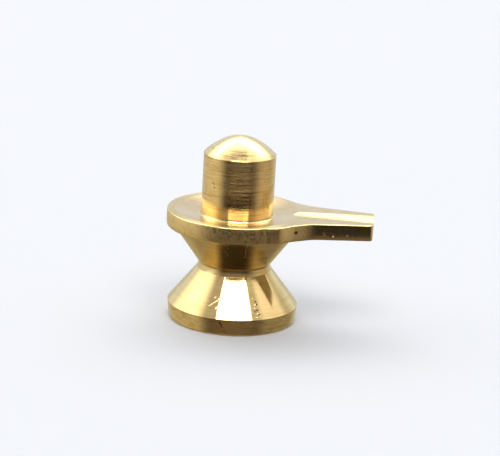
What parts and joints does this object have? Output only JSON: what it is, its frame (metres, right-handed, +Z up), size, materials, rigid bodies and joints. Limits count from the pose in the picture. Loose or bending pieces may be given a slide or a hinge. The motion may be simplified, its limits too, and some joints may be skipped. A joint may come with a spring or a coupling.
{
  "type": "shiva lingam",
  "caption": "Small solid brass shiva lingam: a domed shaft rising from a round plate with a grooved spout, on a waisted foot that stands by its own weight.",
  "frame": {"origin": "centre of the flat underside, on the axis of the shaft", "axes": "+Z up along the axis of the shaft, +X along the spout"},
  "size_m": [0.0322, 0.0218, 0.0293],
  "materials": {
    "turned_brass": "polished"
  },
  "bodies": {
    "root": {"shiva_lingam": "turned_brass"}
  },
  "joints": []
}
